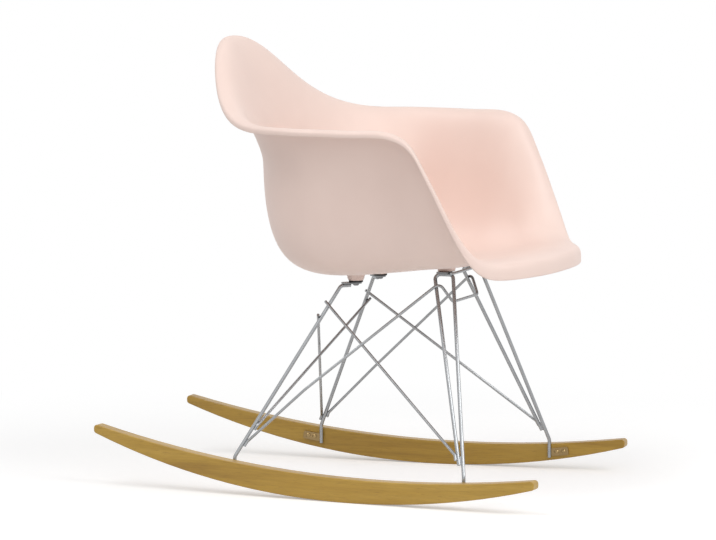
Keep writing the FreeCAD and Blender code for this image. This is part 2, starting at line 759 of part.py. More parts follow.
def station_profile(turn):
    """Control points of one section of the sitter's side, from the turned down edge to the seat."""
    rim = rim_point(turn)
    outward = rim_outward(turn)
    up = Vector(0, 0, 1)
    front_share = 1 - (rim.z - size("lip_height")) / (size("arm_height") - size("lip_height"))
    front_share = min(max(front_share, 0.0), 1.0)
    back_share = (rim.z - size("arm_height")) / (size("back_height") - size("arm_height"))
    back_share = min(max(back_share, 0.0), 1.0)
    rear_share = (rim.y + size("shell_waist")) / (size("shell_rear") + size("shell_waist"))
    rear_share = min(max(rear_share, 0.0), 1.0)
    lip = front_share ** size("lip_onset")
    drop = size("rim_drop") + (size("lip_drop") - size("rim_drop")) * lip
    flare = size("rim_flare")
    flare += (size("lip_flare") - size("rim_flare")) * lip
    flare += (size("back_flare") - size("rim_flare")) * back_share
    edge = rim - outward * size("rim_tuck") - up * drop
    shoulder = rim - up * (size("shoulder_share") * drop)
    crest = rim - outward * (size("crown_share") * flare) + up * size("rim_crown")
    flare_end = rim - outward * flare + up * (size("flare_lift") * flare)
    corner = seat_ring_point(
        turn,
        size("seat_half_width"),
        size("seat_front"),
        size("seat_rear"),
        size("shell_waist"),
        size("front_squareness"),
        size("rear_squareness"),
    )
    corner = corner + up * (size("seat_rear_lift") * rear_share)
    middle = (size("flat_front") - size("flat_rear")) / 2
    dish = seat_ring_point(
        turn,
        size("dish_half_width"),
        size("dish_front"),
        size("dish_rear"),
        middle,
        size("front_squareness"),
        size("front_squareness"),
    )
    flat = seat_ring_point(
        turn,
        size("flat_half_width"),
        size("flat_front"),
        size("flat_rear"),
        middle,
        size("flat_squareness"),
        size("flat_squareness"),
    )
    side_share = (1 - front_share) * (1 - rear_share**2)
    turn_share = 4 * rear_share * (1 - rear_share)
    upper_draw = size("arm_draw") * side_share + size("corner_draw") * turn_share
    upper_draw += size("lumbar_upper") * rear_share**2
    lower_draw = size("lumbar_lower") * rear_share**2
    wall_line = corner - flare_end
    upper = flare_end + wall_line * size("upper_wall_share") - outward * upper_draw
    lower = flare_end + wall_line * size("lower_wall_share") - outward * lower_draw
    return [edge, shoulder, crest, flare_end, upper, lower, corner, dish, flat]


def ring_poles(points):
    """Poles of the closed smooth curve through one ring of points."""
    curve = Part.BSplineCurve()
    curve.interpolate(Points=points, PeriodicFlag=True, Parameters=list(range(len(points) + 1)))
    return curve


def ring_surface(rings, degree):
    """A surface whose closed rings pass through the stations and are smooth across."""
    curves = [ring_poles(ring) for ring in rings]
    poles = list(zip(*[curve.getPoles() for curve in curves]))
    spans = len(rings) - degree
    surface = Part.BSplineSurface()
    surface.buildFromPolesMultsKnots(
        poles,
        curves[0].getMultiplicities(),
        [degree + 1] + [1] * (spans - 1) + [degree + 1],
        curves[0].getKnots(),
        [float(knot) for knot in range(spans + 1)],
        True,
        False,
        SURFACE_DEGREE,
        degree,
    )
    return surface


def shell_rings():
    """Rings of the sitter's side and of the underside, one wall apart."""
    profiles = [station_profile(turn) for turn in rim_turns()]
    stations = len(profiles)
    rows = len(profiles[0])
    wall = size("shell_wall")
    under = []
    for station in range(stations):
        after = profiles[(station + 1) % stations]
        before = profiles[station - 1]
        column = []
        for row in range(rows):
            round_rim = after[row] - before[row]
            inner_row = min(row + 1, rows - 1)
            outer_row = max(row - 1, 0)
            inward = profiles[station][inner_row] - profiles[station][outer_row]
            away = inward.cross(round_rim).normalize()
            column.append(profiles[station][row] + away * wall)
        under.append(column)
    top_rings = [[profile[row] for profile in profiles] for row in range(rows)]
    under_rings = [[column[row] for column in under] for row in range(rows)]
    return top_rings, under_rings


def make_skin():
    """The moulded shell without its bosses."""
    top_rings, under_rings = shell_rings()
    drop = Vector(0, 0, -size("shell_wall") * size("lip_bulge"))
    lip_rings = [
        top_rings[0],
        [point + drop for point in top_rings[0]],
        [point + drop for point in under_rings[0]],
        under_rings[0],
    ]
    faces = [ring_surface(rings, SURFACE_DEGREE).toShape() for rings in (top_rings, lip_rings, under_rings)]
    for rings in (top_rings, under_rings):
        faces.append(Part.Face(Part.Wire([ring_poles(rings[-1]).toShape()])))
    shell = Part.makeShell(faces)
    shell.sewShape()
    solid = Part.makeSolid(shell)
    if solid.Volume < 0:
        solid.reverse()
    skin = doc.addObject("Part::Feature", "shell_skin")
    skin.Shape = solid
    return skin


def make_shell():
    """Shell with four moulded bosses, each bored for its insert."""
    skin = make_skin()
    bosses = []
    bores = []
    for end in ("front", "rear"):
        for side_name, side in SIDES.items():
            place = mount_point(end, side)
            bottom = boss_bottom(end)
            boss = doc.addObject("Part::Cone", f"boss_{end}_{side_name}")
            boss.setExpression("Radius1", "Sizes.boss_radius")
            boss.setExpression("Radius2", "Sizes.boss_radius + Sizes.boss_draft")
            boss.setExpression("Height", f"Sizes.boss_{end}_length + Sizes.shell_wall / 2")
            boss.Placement = Placement(place + Vector(0, 0, bottom), Rotation())
            bosses.append(boss)
            bore = doc.addObject("Part::Cylinder", f"insert_bore_{end}_{side_name}")
            bore.setExpression("Radius", "Sizes.insert_radius + Sizes.fit_clearance")
            bore.setExpression("Height", "Sizes.insert_length")
            bore.Placement = Placement(place + Vector(0, 0, bottom), Rotation())
            bores.append(bore)
    moulding = doc.addObject("Part::MultiFuse", "shell_with_bosses")
    moulding.Shapes = [skin] + bosses
    drill = doc.addObject("Part::MultiFuse", "insert_bores")
    drill.Shapes = bores
    bored = doc.addObject("Part::Cut", "bored_shell")
    bored.Base = moulding
    bored.Tool = drill
    return keep("seat_shell", bored)


# Legs


def foot_inset():
    """Axis of a leg's foot off the rocker's inner face."""
    return size("leg_wire") / 2 + size("foot_clearance")


def foot_points(end, side, knee_rise):
    """Lower end of a leg on the rocker's inner face, and its knee above that."""
    along, outward = FEET[end]
    bottom = foot_height(along) - size("foot_reach")
    knee = rocker_top(along) + knee_rise
    return [
        beside_rocker(side, along, foot_inset(), bottom),
        beside_rocker(side, along, foot_inset(), knee),
    ]


def above_rocker(end, rise):
    """A height over the rocker's upper edge at one end's feet."""
    along, outward = FEET[end]
    return rocker_top(along) + rise


def front_leg_points(side):
    """Foot, knee and front corner of the front rod, then rear corner and welded end of the rear rod."""
    foot, knee = foot_points("front", side, size("front_knee_rise"))
    bar_middle = mount_point("front", side).y + size("bar_setback")
    half = size("bar_length") / 2
    height = wire_height("front")
    front_corner = Vector(side * size("bar_half_width"), bar_middle - half, height)
    rear_corner = Vector(side * size("bar_half_width"), bar_middle + half, height)
    reach = size("leg_wire") + size("rod_gap")
    end = at_height(knee, front_corner, above_rocker("front", size("rod_end_rise")))
    end = end + side_step(knee, front_corner, rear_corner - knee, reach)
    return [foot, knee, front_corner, rear_corner, end]


def rear_leg_points(side):
    """Foot, knee, upper bend and the level end beside the rear screw."""
    height = wire_height("rear")
    bend = Vector(side * size("rear_bend_half_width"), size("rear_bend_setback"), height)
    screw = mount_point("rear", side) + Vector(0, 0, height)
    end = screw + (bend - screw).normalize() * size("rear_end_gap")
    return foot_points("rear", side, size("rear_knee_rise")) + [bend, end]


def make_front_leg(side_name):
    """One wire bent to a hairpin; a bead welds the end of its rear rod to the front rod."""
    side = SIDES[side_name]
    name = f"front_leg_{side_name}"
    points = front_leg_points(side)
    radii = [size("knee_bend"), size("bar_bend"), size("bar_bend")]
    wire = bent_wire(name, points, radii, "leg_wire")
    foot, knee, front_corner, rear_corner, end = points
    along = (front_corner - knee).normalize()
    reach = (size("leg_wire") + size("rod_gap")) / 2
    start = end - side_step(knee, front_corner, rear_corner - knee, reach)
    bead = doc.addObject("Part::Cylinder", name + "_bead")
    bead.setExpression("Radius", "Sizes.bead_radius")
    bead.setExpression("Height", "Sizes.bead_length")
    bead.Placement = Placement(start, Rotation(Vector(0, 0, 1), along))
    welded = doc.addObject("Part::MultiFuse", name + "_welded")
    welded.Shapes = [wire, bead]
    plates = [sub_parts[f"foot_plate_front_{side_name}"], sub_parts[f"mount_plate_front_{side_name}"]]
    return coped(name, welded, plates)


def make_rear_leg(side_name):
    side = SIDES[side_name]
    name = f"rear_leg_{side_name}"
    radii = [size("knee_bend"), size("bar_bend")]
    wire = bent_wire(name, rear_leg_points(side), radii, "leg_wire")
    plates = [sub_parts[f"foot_plate_rear_{side_name}"], sub_parts[f"mount_plate_rear_{side_name}"]]
    return coped(name, wire, plates)


# Braces


def lap_reach():
    """Distance between the axes of a brace and the leg that it is welded to."""
    return (size("leg_wire") + size("brace_wire")) / 2 - size("weld_depth")


def brace_foot(low, high, towards, join):
    """Lower end and lower bend of a brace that runs down beside a leg."""
    step = side_step(low, high, towards, lap_reach())
    end = at_height(low, high, join - size("brace_run")) + step
    bend = at_height(low, high, join) + step
    return end, bend


def cradle_half(side):
    """Half of the cradle wire, from the rear foot up and round the front leg to its cross run."""
    rear_low, rear_high = rear_leg_points(side)[1:3]
    rod_high, rod_low = front_leg_points(side)[3:5]
    weld = at_height(rod_low, rod_high, wire_height("front") - size("cradle_weld_drop"))
    join = above_rocker("rear", size("side_join_rise"))
    end, bend = brace_foot(rear_low, rear_high, weld - rear_low, join)
    weld = weld + lap_offset(rod_high - rod_low, weld - bend, lap_reach(), Vector(side, 0, 0))
    height = wire_height("front") - size("cradle_low_drop")
    low = Vector(side * size("cradle_low_half_width"), -size("cradle_low_front"), height)
    off_line = Vector(side * size("elbow_outward"), size("elbow_rearward"), 0)
    elbow = bend + (weld - bend) * size("elbow_share") + off_line
    run = (weld - elbow).normalize()
    return [end, bend, elbow, weld + run * size("cradle_overrun"), low]


def make_cradle_wire():
    """One wire from the left rear foot round both front legs to the right rear foot."""
    points = cradle_half(-1) + cradle_half(1)[::-1]
    bends = [size("brace_bend"), size("elbow_bend"), size("cradle_bend"), size("cradle_bend")]
    wire = bent_wire("cradle_wire", points, bends + bends[::-1], "brace_wire")
    legs = [sub_parts[f"{end}_leg_{side}"] for side in SIDES for end in ("front", "rear")]
    return coped("cradle_wire", wire, legs)


def make_side_brace(side_name):
    """From the outer side of the rear leg down to the outer side of the front leg's rear rod."""
    side = SIDES[side_name]
    rear_low, rear_high = rear_leg_points(side)[1:3]
    rod_high, rod_low = front_leg_points(side)[3:5]
    weld = at_height(rear_low, rear_high, wire_height("rear") - size("side_brace_drop"))
    join = above_rocker("front", size("front_join_rise"))
    outward = Vector(side, 1, 0)
    end, bend = brace_foot(rod_low, rod_high, outward, join)
    weld = weld + lap_offset(rear_high - rear_low, weld - bend, lap_reach(), Vector(side, 0, 0))
    top = weld + (weld - bend).normalize() * size("brace_overrun")
    name = f"side_brace_{side_name}"
    wire = bent_wire(name, [end, bend, top], [size("brace_bend")], "brace_wire")
    legs = [sub_parts[f"{end}_leg_{side_name}"] for end in ("rear", "front")]
    return coped(name, wire, legs + [sub_parts["cradle_wire"]])


def make_rear_brace(side_name):
    """From one rear leg across to the foot of the other, one in front of the legs and one behind."""
    side = SIDES[side_name]
    near_low, near_high = rear_leg_points(side)[1:3]
    far_low, far_high = rear_leg_points(-side)[1:3]
    facing = Vector(0, -side, 0)
    weld = at_height(near_low, near_high, wire_height("rear") - size(f"{side_name}_brace_drop"))
    join = above_rocker("rear", size(f"{side_name}_join_rise"))
    end, bend = brace_foot(far_low, far_high, facing, join)
    weld = weld + lap_offset(near_high - near_low, weld - bend, lap_reach(), facing)
    top = weld + (weld - bend).normalize() * size("brace_overrun")
    name = f"rear_brace_{side_name}"
    wire = bent_wire(name, [end, bend, top], [size("brace_bend")], "brace_wire")
    return coped(name, wire, [sub_parts["rear_leg_left"], sub_parts["rear_leg_right"]])


def make_top_rod():
    """Straight rod over the front ends of both top bars."""
    bar_middle = mount_point("front", 1).y + size("bar_setback")
    along = bar_middle - size("bar_length") / 2 + size("top_rod_setback")
    fall = size("bar_bend") - size("top_rod_setback")
    dip = size("bar_bend") - math.sqrt(size("bar_bend") ** 2 - fall**2)
    height = wire_height("front") - dip + lap_reach()
    half = size("bar_half_width") + size("top_rod_overhang")
    points = [Vector(-half, along, height), Vector(half, along, height)]
    wire = bent_wire("front_cross_rod", points, [], "brace_wire")
    return coped("front_cross_rod", wire, [sub_parts["front_leg_left"], sub_parts["front_leg_right"]])


# Assembly

for side_name, side in SIDES.items():
    make_rocker(f"rocker_{side_name}", side)
for end in ("front", "rear"):
    for side_name in SIDES:
        make_foot_plate(end, side_name)
        for number in range(2):
            make_wood_screw(end, side_name, number)
        make_mount_plate(end, side_name)
        make_mount_pad(end, side_name)
        make_insert(end, side_name)
        make_mount_screw(end, side_name)
for side_name in SIDES:
    make_front_leg(side_name)
    make_rear_leg(side_name)
make_cradle_wire()
for side_name in SIDES:
    make_side_brace(side_name)
    make_rear_brace(side_name)
make_top_rod()
make_shell()

doc.recompute()
failed = [thing.Name for thing in doc.Objects if "Invalid" in thing.State or "Error" in thing.State]
if failed:
    raise RuntimeError(f"these objects failed: {failed}")
for label, thing in sub_parts.items():
    if thing.Shape.isNull() or not thing.Shape.isValid() or not thing.Shape.Solids:
        raise RuntimeError(f"{label} has no valid solid")
for label, thing in sub_parts.items():
    thing.Shape.exportStep(f"parts/{label}.step")
    print(label, len(thing.Shape.Solids), round(thing.Shape.Volume, 1))
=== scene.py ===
import bpy
import numpy as np
from mathutils import Matrix, Vector


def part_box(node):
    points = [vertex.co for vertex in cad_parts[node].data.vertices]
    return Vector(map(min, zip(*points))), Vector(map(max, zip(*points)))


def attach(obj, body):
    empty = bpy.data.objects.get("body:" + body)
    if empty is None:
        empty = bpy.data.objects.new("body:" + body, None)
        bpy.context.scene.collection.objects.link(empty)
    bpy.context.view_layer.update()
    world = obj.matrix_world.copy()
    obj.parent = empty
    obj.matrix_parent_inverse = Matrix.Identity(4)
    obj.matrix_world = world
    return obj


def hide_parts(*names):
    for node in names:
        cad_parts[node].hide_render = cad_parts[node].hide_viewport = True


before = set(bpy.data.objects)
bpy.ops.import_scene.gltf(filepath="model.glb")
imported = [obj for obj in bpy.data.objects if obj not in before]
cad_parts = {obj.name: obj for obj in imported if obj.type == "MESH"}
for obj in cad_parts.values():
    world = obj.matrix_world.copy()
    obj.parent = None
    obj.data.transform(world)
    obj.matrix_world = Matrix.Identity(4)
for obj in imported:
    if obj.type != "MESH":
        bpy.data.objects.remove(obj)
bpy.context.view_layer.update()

# Moulded armchair seat on a chromed wire base with two wooden rockers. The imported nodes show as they
# are, each in its finish, apart from the seat shell, which gets a finer skin and filleted bosses.

MM = 0.001

# Seat shell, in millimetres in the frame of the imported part: the front is towards -y and z is up

WALL = 4.5

# Plan of the rim: half its width, its reach to the front and to the rear, and where it is widest
HALF_WIDTH, FRONT, REAR, WAIST = 311.8, 374.0, 237.8, 20.0
FRONT_SQUARENESS, REAR_SQUARENESS = 2.52, 1.76
ARM_FRONT_WIDENING, WIDENING_START_POWER, WIDENING_END_POWER = 16.0, 1.6, 8

# Side view of the rim: lip, front slope of the arms, rising arms and back
LIP_HEIGHT, ARM_HEIGHT, BACK_HEIGHT = 402.5, 620.7, 759.0
ARM_EDGE_FRONT, ARM_EDGE_REAR = 326.0, 176.5
ARM_RISE, ARM_RISE_MIDDLE = 0.018, 60.0
BACK_CLIMB_START, BACK_CLIMB_POWER = 20.0, 3.41
SHOULDER_LIFT, SHOULDER_POWER = 2.29, 10.6

# Section of the rim: how far its edge turns down, how wide it flares and how it is crowned
RIM_DROP, LIP_DROP, DROP_MIDDLE_SHARE, EDGE_INSET = 8.4, 27.0, 0.3, 1.0
RIM_FLARE, BACK_FLARE, LIP_FLARE, ARM_FRONT_TIGHTENING = 41.0, 25.5, 52.5, 16.0
LIP_BLEND_POWER = 1.5
RIM_CROWN, CREST_SHARE, FLARE_END_RISE = 1.4, 0.11, 0.06
EDGE_ROUNDING = 0.6

# Inner wall, dished corner and flat of the seat
SEAT_HALF_WIDTH, SEAT_FRONT, SEAT_REAR, SEAT_REAR_LIFT = 241.5, 270.0, 118.0, 24.5
SEAT_HEIGHT, SEAT_SLOPE = 369.5, 0.10
SEAT_FRONT_SQUARENESS, SEAT_REAR_SQUARENESS, FLAT_SQUARENESS = 2.46, 1.85, 3.0
FLAT_HALF_WIDTH, FLAT_FRONT, FLAT_REAR = 100.0, 212.0, 14.0
DISH_HALF_WIDTH, DISH_FRONT, DISH_REAR = 150.0, 240.0, 36.0
UPPER_WALL_SHARE, LOWER_WALL_SHARE = 0.37, 0.52
LUMBAR_UPPER, LUMBAR_LOWER, ARM_DRAW, CORNER_DRAW = 34.0, 15.5, 5.0, 8.0

# Bosses under the seat, one over each mount
MOUNT_HALF_WIDTH, MOUNT_FRONT, MOUNT_REAR = 55.0, 182.0, 18.5
BOSS_RADIUS, BOSS_DRAFT, BOSS_FILLET, BOSS_END_ROUND = 13.0, 1.5, 10.0, 1.0
BOSS_OVERLAP, BOSS_CAP_RISE, BOSS_SLOPED_TOP = 0.4, 1.0, 1.0
INSERT_BORE_RADIUS, INSERT_BORE_DEPTH = 4.95, 7.0

# Fineness of the surfaces
SPLINE_DEGREE = 3
STATIONS = 48
RIM_SAMPLES = 2001
TANGENT_STEP = 1e-3
AROUND_PER_STATION = 8
ACROSS_STEPS = 72
LIP_STEPS = 8
CENTRE_RINGS = 6
BOSS_STEPS = 64
BOSS_ROUND_POINTS = 9

# Camera, fitted to the runners, arm rims and wires of the photograph, with its sensor in millimetres
# and its place in metres

IMAGE_WIDTH = 716
FOCAL_PIXELS = 3611.0
SENSOR_WIDTH = 36.0
CAMERA_TURN = np.radians(22.14)
CAMERA_TILT = np.radians(6.07)
CAMERA_ROLL = np.radians(-0.5)
CAMERA_DISTANCE = 6.158
CAMERA_TARGET_HEIGHT = 0.362
CAMERA_REACH = 60.0

# Finishes: between which values of the noise a tone turns lighter, and how far a metal varies

TONE_START, TONE_END = 0.3, 0.7
METAL_TINT_STEP, METAL_GLOSS_SPREAD = 8, 0.2
WHITE = (1, 1, 1, 1)

# Studio, in metres and watts

FLOOR_HALF = 12.0
FLOOR_GREY, FLOOR_GLOW = 0.8, 0.34
FADE_START, FADE_END = 0.55, 1.3
SURROUND_LIGHT = 0.46
LAMP_TARGET, LAMP_WIDTH = (0.0, 0.0, 0.4), 2.0
LAMPS = (
    ("front_softbox", (-0.46, -2.58, 2.24), 41.0),
    ("rear_softbox", (-1.13, 1.13, 3.17), 34.0),
    ("side_softbox", (-2.60, -0.95, 2.00), 15.0),
)


def share_between(value, start, end):
    """How far a value lies on the way from start to end, held between 0 and 1."""
    return np.clip((value - start) / (end - start), 0, 1)


def squared_ellipse(turn, half_width, front, rear, middle, front_power, rear_power):
    """Plan outline of half width a, with its own reach b and power n on either side of its middle m.

    x = a sin^(2/n) and y = -m - b cos^(2/n) of the turn, each power with the sign kept.
    """
    sine, cosine = np.sin(turn), np.cos(turn)
    power = np.where(cosine > 0, front_power, rear_power)
    reach = np.where(cosine > 0, front - middle, rear + middle)
    x = half_width * np.sign(sine) * np.abs(sine) ** (2 / power)
    y = -middle - np.sign(cosine) * reach * np.abs(cosine) ** (2 / power)
    return x, y


def rim_height(y):
    """Side view of the rim: a smooth step from lip to arm, a slowly rising arm, then the back.

    The step is s^2 (3 - 2 s) of the share s of the arm's front slope. With r from 0 where the back
    starts to 1 at its top, it climbs by r^p + l (1 - r) r^q, whose second term makes the top broad.
    """
    step = share_between(y, -ARM_EDGE_FRONT, -ARM_EDGE_REAR)
    arm_top = ARM_HEIGHT + ARM_RISE * (np.minimum(y, BACK_CLIMB_START) + ARM_RISE_MIDDLE)
    arm = LIP_HEIGHT + (arm_top - LIP_HEIGHT) * step**2 * (3 - 2 * step)
    rise = share_between(y, BACK_CLIMB_START, REAR)
    climb = rise**BACK_CLIMB_POWER + SHOULDER_LIFT * (1 - rise) * rise**SHOULDER_POWER
    return arm + (BACK_HEIGHT - arm) * climb


def rim_line(turn):
    """Edge of the rim: the plan outline lifted to the side view, wider where the arms slope down.

    With f from 0 on the arms to 1 at the lip, the widening is w f^p (1 - f^q).
    """
    x, y = squared_ellipse(turn, HALF_WIDTH, FRONT, REAR, WAIST, FRONT_SQUARENESS, REAR_SQUARENESS)
    height = rim_height(y)
    fall = share_between(height, ARM_HEIGHT, LIP_HEIGHT)
    widening = ARM_FRONT_WIDENING * fall**WIDENING_START_POWER * (1 - fall**WIDENING_END_POWER)
    return np.stack([x + np.sign(x) * widening, y, height], axis=-1)


def rim_turns():
    """Turns that cut each half of the rim into equal lengths, mirrored to the other half."""
    fine = np.linspace(0, np.pi, RIM_SAMPLES)
    lengths = np.linalg.norm(np.diff(rim_line(fine), axis=0), axis=1)
    travelled = np.concatenate([[0], np.cumsum(lengths)])
    goals = travelled[-1] * np.arange(STATIONS // 2 + 1) / (STATIONS // 2)
    half = fine[np.minimum(np.searchsorted(travelled, goals), len(fine) - 1)]
    return np.concatenate([half, 2 * np.pi - half[-2:0:-1]])


def rim_outward(turn):
    """Level unit vectors out of the rim: its tangent in plan, turned by a quarter."""
    tangent = rim_line(turn + TANGENT_STEP) - rim_line(turn - TANGENT_STEP)
    outward = np.stack([tangent[:, 1], -tangent[:, 0], np.zeros(len(turn))], axis=-1)
    return outward / np.linalg.norm(outward, axis=1, keepdims=True)


def seat_level(y):
    """Height of the seat's plane, which falls by its slope from the front to the rear."""
    return SEAT_HEIGHT - SEAT_SLOPE * (y + MOUNT_REAR)


def seat_ring(turn, *outline):
    """A plan outline laid in the sloping plane of the seat."""
    x, y = squared_ellipse(turn, *outline)
    return np.stack([x, y, seat_level(y)], axis=-1)


def sitter_side_net():
    """Control net of the sitter's side: nine rings from the turned down edge to the seat's flat.

    The upper rings are the rim line moved inwards and up or down by amounts that blend between lip,
    arm and back. The next two lie at a share of the way to the seat's corner, drawn inwards by the
    lumbar bulge and the arms. The last three are outlines in the plane of the seat, of which the
    corner is lifted at the rear.
    """
    turn = rim_turns()
    rim = rim_line(turn)
    outward = rim_outward(turn)
    up = np.array([0.0, 0.0, 1.0])
    along, height = rim[:, 1:2], rim[:, 2:3]

    front_share = 1 - share_between(height, LIP_HEIGHT, ARM_HEIGHT)
    back_share = share_between(height, ARM_HEIGHT, BACK_HEIGHT)
    rear_share = share_between(along, -WAIST, REAR)
    slope_share = 4 * front_share * (1 - front_share)
    side_share = (1 - front_share) * (1 - rear_share**2)
    turn_share = 4 * rear_share * (1 - rear_share)

    lip = front_share**LIP_BLEND_POWER
    drop = RIM_DROP + (LIP_DROP - RIM_DROP) * lip
    flare = RIM_FLARE + (LIP_FLARE - RIM_FLARE) * lip + (BACK_FLARE - RIM_FLARE) * back_share
    flare = flare - ARM_FRONT_TIGHTENING * slope_share
    edge = rim - EDGE_INSET * outward - up * drop
    shoulder = rim - up * (DROP_MIDDLE_SHARE * drop)
    crest = rim - outward * (CREST_SHARE * flare) + up * RIM_CROWN
    flare_end = rim - outward * flare + up * (FLARE_END_RISE * flare)

    squareness = SEAT_FRONT_SQUARENESS, SEAT_REAR_SQUARENESS
    corner = seat_ring(turn, SEAT_HALF_WIDTH, SEAT_FRONT, SEAT_REAR, WAIST, *squareness)
    corner = corner + up * (SEAT_REAR_LIFT * rear_share)
    middle = (FLAT_FRONT - FLAT_REAR) / 2
    squareness = SEAT_FRONT_SQUARENESS, SEAT_FRONT_SQUARENESS
    dish = seat_ring(turn, DISH_HALF_WIDTH, DISH_FRONT, DISH_REAR, middle, *squareness)
    squareness = FLAT_SQUARENESS, FLAT_SQUARENESS
    flat = seat_ring(turn, FLAT_HALF_WIDTH, FLAT_FRONT, FLAT_REAR, middle, *squareness)

    upper_draw = ARM_DRAW * side_share + CORNER_DRAW * turn_share + LUMBAR_UPPER * rear_share**2
    lower_draw = LUMBAR_LOWER * rear_share**2
    upper = flare_end + (corner - flare_end) * UPPER_WALL_SHARE - outward * upper_draw
    lower = flare_end + (corner - flare_end) * LOWER_WALL_SHARE - outward * lower_draw
    return np.stack([edge, shoulder, crest, flare_end, upper, lower, corner, dish, flat])


def underside_net(net):
    """The net moved out by the wall along the cross product of its two directions."""
    round_rim = np.roll(net, -1, axis=1) - np.roll(net, 1, axis=1)
    inward = np.concatenate([net[1:2] - net[:1], net[2:] - net[:-2], net[-1:] - net[-2:-1]])
    away = np.cross(inward, round_rim)
    return net + WALL * away / np.linalg.norm(away, axis=2, keepdims=True)


def smooth_rings(net):
    """Closed cubic B-splines through the stations, sampled.

    At a station the spline is (c- + 4 c + c+) / 6 of its neighbouring coefficients, which a Fourier
    transform solves. Between stations the four cubic blending functions of the share s weigh them.
    """
    wave = np.fft.fft(net, axis=1)
    damping = (4 + 2 * np.cos(2 * np.pi * np.arange(STATIONS) / STATIONS)) / 6
    knots = np.real(np.fft.ifft(wave / damping[None, :, None], axis=1))
    share = np.arange(AROUND_PER_STATION) / AROUND_PER_STATION
    weights = np.stack([
        (1 - share) ** 3,
        3 * share**3 - 6 * share**2 + 4,
        1 + 3 * share + 3 * share**2 - 3 * share**3,
        share**3,
    ]) / 6
    shifted = np.stack([np.roll(knots, 1 - lag, axis=1) for lag in range(len(weights))])
    rings = np.einsum("kp,krsc->rspc", weights, shifted)
    return rings.reshape(net.shape[0], STATIONS * AROUND_PER_STATION, 3)


def clamped_weights(poles, steps):
    """Cubic B-spline weights on even steps, with the ends held, by the recursion on the knots.

    The weight at each degree is the sum of two of the degree below, one growing with the distance
    from the knot on its left and one shrinking with that to the knot on its right.
    """
    spans = poles - SPLINE_DEGREE
    knots = np.pad(np.arange(spans + 1), SPLINE_DEGREE, mode="edge").astype(float)
    place = np.linspace(0, spans, steps + 1)
    index = np.minimum(place.astype(int), spans - 1) + SPLINE_DEGREE
    basis = (np.arange(len(knots) - 1)[None, :] == index[:, None]).astype(float)
    for degree in range(1, SPLINE_DEGREE + 1):
        count = len(knots) - 1 - degree
        ends = knots[degree + 1 : degree + 1 + count]
        left_gap = knots[degree : degree + count] - knots[:count]
        right_gap = ends - knots[1 : 1 + count]
        left = (place[:, None] - knots[:count]) / np.where(left_gap > 0, left_gap, 1) * (left_gap > 0)
        right = (ends - place[:, None]) / np.where(right_gap > 0, right_gap, 1) * (right_gap > 0)
        basis = left * basis[:, :count] + right * basis[:, 1 : count + 1]
    return basis


def across(rings, steps):
    """Sections of the surface: each column of rings becomes a cubic B-spline with held ends."""
    return np.einsum("tr,rsc->tsc", clamped_weights(len(rings), steps), rings)


def shell_surface():
    """Closed skin as rows of rings: seat centre, sitter's side, lip, underside, back to the centre.

    The lip is a spline from one side's edge to the other over two rings moved down by a share of
    the wall, and each centre is filled with shrunken copies of its last ring.
    """
    net = sitter_side_net()
    top = smooth_rings(net)
    under = smooth_rings(underside_net(net))
    down = np.array([0.0, 0.0, -EDGE_ROUNDING * WALL])
    top_rows = across(top, ACROSS_STEPS)[::-1]
    lip_rows = across(np.stack([top[0], top[0] + down, under[0] + down, under[0]]), LIP_STEPS)[1:-1]
    under_rows = across(under, ACROSS_STEPS)
    shares = np.linspace(0, 1, CENTRE_RINGS + 2)[1:-1, None, None]
    top_centre = top_rows[0].mean(axis=0)
    under_centre = under_rows[-1].mean(axis=0)
    top_fill = top_centre + (top_rows[0] - top_centre) * shares
    under_fill = under_centre + (under_rows[-1] - under_centre) * shares[::-1]
    rows = np.concatenate([top_fill, top_rows, lip_rows, under_rows, under_fill])
    return rows, top_centre, under_centre


def boss_profile(bottom, top):
    """Radius and height down a boss: cap, fillet, drafted wall, rounded end, flat face and bore.

    The fillet and the rounded end are quarter circles by sine and cosine.
    """
    turn = np.linspace(0, np.pi / 2, BOSS_ROUND_POINTS)
    fillet_radius = BOSS_RADIUS + BOSS_DRAFT + BOSS_FILLET * (1 - np.sin(turn))
    fillet_height = top - BOSS_FILLET * (1 - np.cos(turn))
    end_radius = BOSS_RADIUS - BOSS_END_ROUND + BOSS_END_ROUND * np.cos(turn)
    end_height = bottom + BOSS_END_ROUND - BOSS_END_ROUND * np.sin(turn)
    bore_radius = np.full(2, INSERT_BORE_RADIUS)
    bore_height = [bottom, bottom + INSERT_BORE_DEPTH]
    radius = np.concatenate([fillet_radius[:1], fillet_radius, end_radius, bore_radius])
    height = np.concatenate([[top + BOSS_CAP_RISE], fillet_height, end_height, bore_height])
    return radius, height


def boss_surfaces():
    """The four bosses: each profile turned about the upright through its mount.

    The rings at the top follow the slope of the seat's underside.
    """
    angle = np.arange(BOSS_STEPS) * 2 * np.pi / BOSS_STEPS
    surfaces = []
    for end, y in (("front", -MOUNT_FRONT), ("rear", -MOUNT_REAR)):
        for side_name, side in (("left", -1), ("right", 1)):
            pad_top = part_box(f"mount_pad_{end}_{side_name}")[1].z / MM
            underside = seat_level(y) - WALL
            radius, height = boss_profile(pad_top, underside + BOSS_OVERLAP)
            x = side * MOUNT_HALF_WIDTH + radius[:, None] * np.cos(angle)
            along = y + radius[:, None] * np.sin(angle)
            at_top = height[:, None] > underside - BOSS_SLOPED_TOP
            level = height[:, None] + np.where(at_top, -SEAT_SLOPE * (along - y), 0.0)
            surfaces.append(np.stack([x, along, level], axis=-1))
    return surfaces


